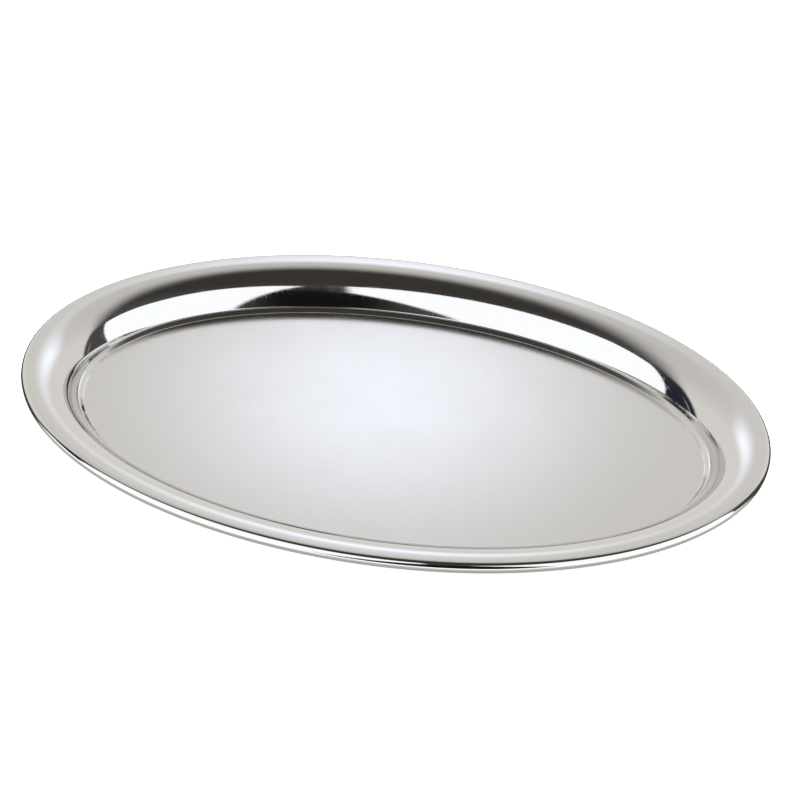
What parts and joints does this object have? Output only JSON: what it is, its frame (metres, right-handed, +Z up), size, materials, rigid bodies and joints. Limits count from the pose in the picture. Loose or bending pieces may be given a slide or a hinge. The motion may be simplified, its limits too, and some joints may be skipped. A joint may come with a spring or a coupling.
{
  "type": "serving tray",
  "caption": "Shallow oval serving tray with a flat well, a low stepped edge round the floor, a curved wall and a rolled rim.",
  "frame": {"origin": "centre of the underside of the well floor, which is the face the tray stands on", "axes": "+Z up, out of the well; X along the tray's length; Y across its width"},
  "size_m": [0.4, 0.26, 0.02],
  "materials": {
    "polished_steel": "stainless steel, mirror-polished rim and wall, slightly satin well floor",
    "wire_steel": "drawn steel wire, unpolished"
  },
  "bodies": {
    "root": {"tray_body": "polished_steel", "rim_wire": "wire_steel"}
  },
  "joints": []
}
